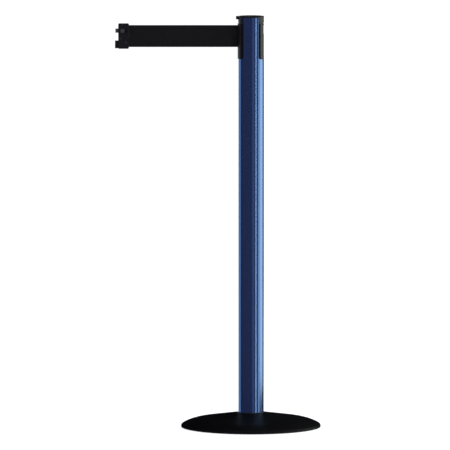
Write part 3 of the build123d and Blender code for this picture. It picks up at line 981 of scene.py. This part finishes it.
@dataclass
class Belt:
    """The free run of webbing between the outlet and the belt end."""

    half_thickness: float = 0.385 * MM
    fuller_half: float = 0.517 * MM
    round_depth: float = 0.55 * MM
    edge_share: float = 0.25
    selvedge: float = 1.5 * MM
    selvedge_start: float = 0.6 * MM
    inside_head: float = 4.0 * MM
    steps: int = 40
    hem_length: float = 1.9 * MM
    hem_half: float = 0.85 * MM
    hem_lap: float = 0.3 * MM
    hem_inset: float = 0.8 * MM
    hem_edge: float = 0.3 * MM
    stitch_margin: float = 4.8 * MM
    stitch_shift: float = 0.2 * MM
    stitch_lean_deg: float = 4.0
    stitch_sides: int = 8
    stitch_step: float = 3.1 * MM
    stitch_length: float = 2.4 * MM
    thread_r: float = 0.28 * MM

    def build(self, palette: Palette) -> bpy.types.Object:
        """Args:
            palette: Materials.

        Returns:
            The strip.
        """
        low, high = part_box("belt_web")
        far, near = low[0], high[0] + self.inside_head
        outline = self.section(low[2], high[2])
        bm = bmesh.new()
        ring = [bm.verts.new((near, y, z)) for y, z in outline]
        face = bm.faces.new(ring)
        pushed = bmesh.ops.extrude_face_region(bm, geom=[face])
        moved = [v for v in pushed["geom"] if isinstance(v, bmesh.types.BMVert)]
        bmesh.ops.translate(bm, vec=(far - near, 0, 0), verts=moved)
        strip = finish_mesh(bm, "belt_webbing_strip")
        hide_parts("belt_web")
        strip.data.materials.append(palette.webbing)
        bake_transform(strip)
        self.hem(palette)
        LOG.info("belt strip is %.0f mm long", (near - far) / MM)
        return strip

    def hem(self, palette: Palette) -> list[bpy.types.Object]:
        """Make the turned-in end of the webbing and its row of stitches at the clip.

        Args:
            palette: Materials.

        Returns:
            The turned-in end and its stitches.
        """
        low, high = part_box("belt_web")
        clip_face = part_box("clip_body")[1][0]
        start, end = clip_face - self.hem_lap, clip_face + self.hem_length
        foot, roof = low[2] + self.hem_inset, high[2] - self.hem_inset
        bm = brick((start, -self.hem_half, foot), (end, self.hem_half, roof))
        upright = [e for e in bm.edges if abs(e.verts[0].co.z - e.verts[1].co.z) > MM]
        round_edges(bm, upright, self.hem_edge, 3)
        fold = place(finish_mesh(bm, "belt_hem_fold"), Body.BELT_END, palette.webbing)
        stitches = bmesh.new()
        count = int((high[2] - low[2] - self.stitch_margin) / self.stitch_step)
        first = (low[2] + high[2] - (count - 1) * self.stitch_step) / 2
        middle = (start + end) / 2 + self.stitch_shift
        for side in (-1, 1):
            for i in range(count):
                height = first + i * self.stitch_step
                self.stitch(stitches, Vector((middle, side * self.hem_half, height)))
        row = finish_mesh(stitches, "belt_hem_stitches")
        return [fold, place(row, Body.BELT_END, palette.stitching)]

    def stitch(self, bm: bmesh.types.BMesh, spot: Vector) -> None:
        """Add one short thread bar that sinks at both ends.

        Args:
            bm: Mesh that takes it.
            spot: Its middle.
        """
        lean = Matrix.Rotation(math.radians(self.stitch_lean_deg), 4, "Y")
        made = bmesh.ops.create_cone(
            bm, cap_ends=True, segments=self.stitch_sides, radius1=self.thread_r,
            radius2=self.thread_r, depth=self.stitch_length,
            matrix=Matrix.Translation(spot) @ lean,
        )
        ends = (f for v in made["verts"] for f in v.link_faces)
        caps = dict.fromkeys(f for f in ends if len(f.verts) == self.stitch_sides)
        edges = list(dict.fromkeys(e for f in caps for e in f.edges))
        round_edges(bm, edges, 0.7 * self.thread_r, 2)

    def section(self, low: float, high: float) -> list[Point]:
        """Cross-section of the webbing, with slightly fuller edges.

        Args:
            low: Lower edge in metres.
            high: Upper edge in metres.

        Returns:
            (y, z) points round the section.
        """
        side = []
        for i in range(self.steps + 1):
            t = i / self.steps
            z = low + (high - low) * t
            rim = min(t, 1 - t) * (high - low)
            round_in = min(1.0, math.sqrt(max(rim, 0.0) / self.round_depth))
            fuller = self.selvedge_start < rim < self.selvedge
            half = self.fuller_half if fuller else self.half_thickness
            side.append((half * max(round_in, self.edge_share), z))
        back = [(-y, z) for y, z in reversed(side)]
        return side + back


@dataclass
class BeltEnd:
    """The clip on the belt's end, with its cover, screws and sliding latch."""

    clip_edge: float = 0.35 * MM
    latch_edge: float = 0.25 * MM

    def build(self, palette: Palette) -> None:
        """Dress the belt end.

        Args:
            palette: Materials.
        """
        for node in ("clip_body", "clip_cover"):
            piece = softened_copy(node, f"{node}_skin", self.clip_edge)
            place(piece, Body.BELT_END, palette.head)
        latch = softened_copy("clip_latch", "clip_latch_skin", self.latch_edge)
        place(latch, Body.LATCH, palette.latch)
        dress("clip_screws", palette.black_steel)
        dress("clip_pin", palette.bright)
        dress("latch_spring", palette.spring)


# ---- studio -------------------------------------------------------------------------------
COOL: Colour = (0.97, 1.0, 0.97)
SKY: Colour = (0.55, 0.72, 1.0)
WHITE: Colour = (1.0, 1.0, 1.0)


@dataclass
class Card:
    """One upright light card around the post."""

    name: str
    azimuth: float
    width: float
    height: float
    distance: float
    power: float
    z: float = 0.9
    colour: Colour = WHITE
    skips_base: bool = False

    def hang(self) -> bpy.types.Object:
        """Make the area light, facing the post.

        Returns:
            The light.
        """
        data = bpy.data.lights.new(self.name, "AREA")
        data.shape = "RECTANGLE"
        data.size = self.width
        data.size_y = self.height
        data.energy = self.power
        data.color = self.colour
        light = bpy.data.objects.new(self.name, data)
        angle = math.radians(self.azimuth)
        spot = Vector((math.sin(angle), -math.cos(angle), 0.0)) * self.distance
        light.location = spot + Vector((0, 0, self.z))
        aim = Vector((0, 0, self.z)) - light.location
        light.rotation_euler = aim.to_track_quat("-Z", "Y").to_euler()
        light.visible_camera = False
        bpy.context.scene.collection.objects.link(light)
        if self.skips_base:
            self.skip("base_cover_skin", light)
        return light

    def skip(self, name: str, light: bpy.types.Object) -> None:
        """Keep the light off one piece.

        Args:
            name: Name of the piece.
            light: The light.
        """
        kept_off = bpy.data.collections.new(f"{self.name}_keeps_off")
        kept_off.objects.link(bpy.data.objects[name])
        kept_off.collection_objects[0].light_linking.link_state = "EXCLUDE"
        light.light_linking.receiver_collection = kept_off


@dataclass
class Studio:
    """Pale floor, white surround and soft cards."""

    floor_size: float = 60.0
    floor_drop: float = 0.4 * MM
    paint_dark: Colour = (0.90, 0.90, 0.90)
    paint_light: Colour = (0.94, 0.94, 0.94)
    # the floor glows darker near the middle: a painted contact shadow round the base, fading out
    # between these distances
    near_painted_shadow: Colour = (0.8, 0.8, 0.8)
    shadow_fade_from: float = 0.15
    shadow_fade_to: float = 1.1
    front_gloss: Colour = (0.112, 0.094, 0.178)
    back_gloss: Colour = (0.012, 0.012, 0.014)
    gloss_from: float = -0.3
    gloss_to: float = 0.35
    top_size: float = 3.0
    top_power: float = 19.0
    top_spot: tuple[float, float, float] = (0.3, -0.6, 3.6)
    sensor_width: float = 36.0
    lens: float = 650.0
    far_clip: float = 200.0
    look_at: tuple[float, float, float] = (-0.0638, 0.0, 0.4995)
    lift_deg: float = 5.3
    camera_distance: float = 20.0

    def build(self) -> None:
        """Set the floor, the world, the cards and the camera."""
        self.floor()
        self.world()
        cards = [
            Card("strip_card", 46.0, 0.24, 3.2, 2.6, 9.5, colour=COOL),
            Card("front_card", 21.0, 1.0, 3.2, 2.8, 2.6, colour=SKY),
            Card("near_card", 75.0, 0.79, 2.8, 2.5, 9.5, z=1.1, colour=COOL),
            Card("soft_card", 105.5, 1.95, 2.7, 2.5, 42.0, z=1.15, colour=COOL),
            Card("back_left_card", -156.0, 1.7, 3.2, 3.0, 30.0, colour=COOL, skips_base=True),
            Card("left_card", -118.0, 1.7, 3.2, 3.0, 17.0, colour=SKY, skips_base=True),
        ]
        for card in cards:
            card.hang()
        self.top_light()
        self.camera()

    def floor(self) -> None:
        """Make the pale floor, with a painted contact shadow in its glow near the middle."""
        bm = bmesh.new()
        under = Matrix.Translation((0, 0, -self.floor_drop))
        bmesh.ops.create_grid(
            bm, x_segments=8, y_segments=8, size=self.floor_size / 2, matrix=under
        )
        floor = finish_mesh(bm, "studio_floor")
        material = bpy.data.materials.new("floor_pale")
        material.use_nodes = True
        bench = NodeBench(material.node_tree)
        shader = material.node_tree.nodes["Principled BSDF"]
        place_on = bench.add("ShaderNodeTexCoord").outputs["Object"]
        noise = bench.add("ShaderNodeTexNoise")
        bench.feed(noise.inputs["Vector"], place_on)
        dark, light = (*self.paint_dark, 1.0), (*self.paint_light, 1.0)
        paint = bench.mix(noise.outputs["Fac"], dark, light)
        bench.feed(shader.inputs["Base Color"], paint)
        shader.inputs["Roughness"].default_value = 0.9
        shader.inputs["Specular IOR Level"].default_value = 0.0
        # the glow is dimmer near the middle: a painted contact shadow round the base
        reach = bench.add("ShaderNodeVectorMath", operation="LENGTH")
        bench.feed(reach.inputs[0], place_on)
        fade = bench.add("ShaderNodeMapRange", interpolation_type="SMOOTHSTEP")
        fade.inputs["From Min"].default_value = self.shadow_fade_from
        fade.inputs["From Max"].default_value = self.shadow_fade_to
        bench.feed(fade.inputs["Value"], reach.outputs["Value"])
        glow = bench.mix(fade.outputs["Result"], (*self.near_painted_shadow, 1.0), (*WHITE, 1.0))
        bench.feed(shader.inputs["Emission Color"], glow)
        shader.inputs["Emission Strength"].default_value = 1.0
        floor.data.materials.append(material)
        floor.visible_glossy = False
        floor.visible_shadow = False

    def world(self) -> None:
        """Surround that is white to the eye and dim to the gloss."""
        world = bpy.data.worlds.new("studio_world")
        world.use_nodes = True
        bpy.context.scene.world = world
        bench = NodeBench(world.node_tree)
        back = world.node_tree.nodes["Background"]
        path = bench.add("ShaderNodeLightPath")
        split = bench.add("ShaderNodeSeparateXYZ")
        bench.feed(split.inputs[0], bench.add("ShaderNodeTexCoord").outputs["Generated"])
        side = bench.add("ShaderNodeMapRange", interpolation_type="SMOOTHSTEP")
        side.inputs["From Min"].default_value = self.gloss_from
        side.inputs["From Max"].default_value = self.gloss_to
        bench.feed(side.inputs["Value"], split.outputs["Y"])
        front, behind = (*self.front_gloss, 1.0), (*self.back_gloss, 1.0)
        dim = bench.mix(side.outputs["Result"], front, behind)
        shown = bench.mix(path.outputs["Is Camera Ray"], dim, (*WHITE, 1.0))
        bench.feed(back.inputs["Color"], shown)

    def top_light(self) -> None:
        """Large soft light over the base."""
        data = bpy.data.lights.new("top_card", "AREA")
        data.size = self.top_size
        data.energy = self.top_power
        light = bpy.data.objects.new("top_card", data)
        light.location = self.top_spot
        light.visible_camera = False
        bpy.context.scene.collection.objects.link(light)

    def camera(self) -> None:
        """Long-lens camera, level with a slight look down."""
        data = bpy.data.cameras.new("view_camera")
        data.sensor_width = self.sensor_width
        data.lens = self.lens
        data.dof.use_dof = False
        data.clip_end = self.far_clip
        camera = bpy.data.objects.new("view_camera", data)
        target = Vector(self.look_at)
        lift = math.radians(self.lift_deg)
        back = Vector((0, -math.cos(lift), math.sin(lift)))
        camera.location = target + back * self.camera_distance
        camera.rotation_euler = (target - camera.location).to_track_quat("-Z", "Y").to_euler()
        bpy.context.scene.collection.objects.link(camera)
        bpy.context.scene.camera = camera
        view = bpy.context.scene.view_settings
        view.view_transform = "Standard"
        view.look = "None"


def main() -> None:
    """Build the stanchion's looks in order and report each piece."""
    logging.basicConfig(level=logging.INFO, format="%(message)s")
    belt_low, belt_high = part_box("belt_web")
    palette = Palette((belt_low[2] + belt_high[2]) / 2)
    Base().build(palette)
    Post().build(palette)
    Head().build(palette)
    Belt().build(palette)
    BeltEnd().build(palette)
    Studio().build()


if __name__ == "__main__":
    main()
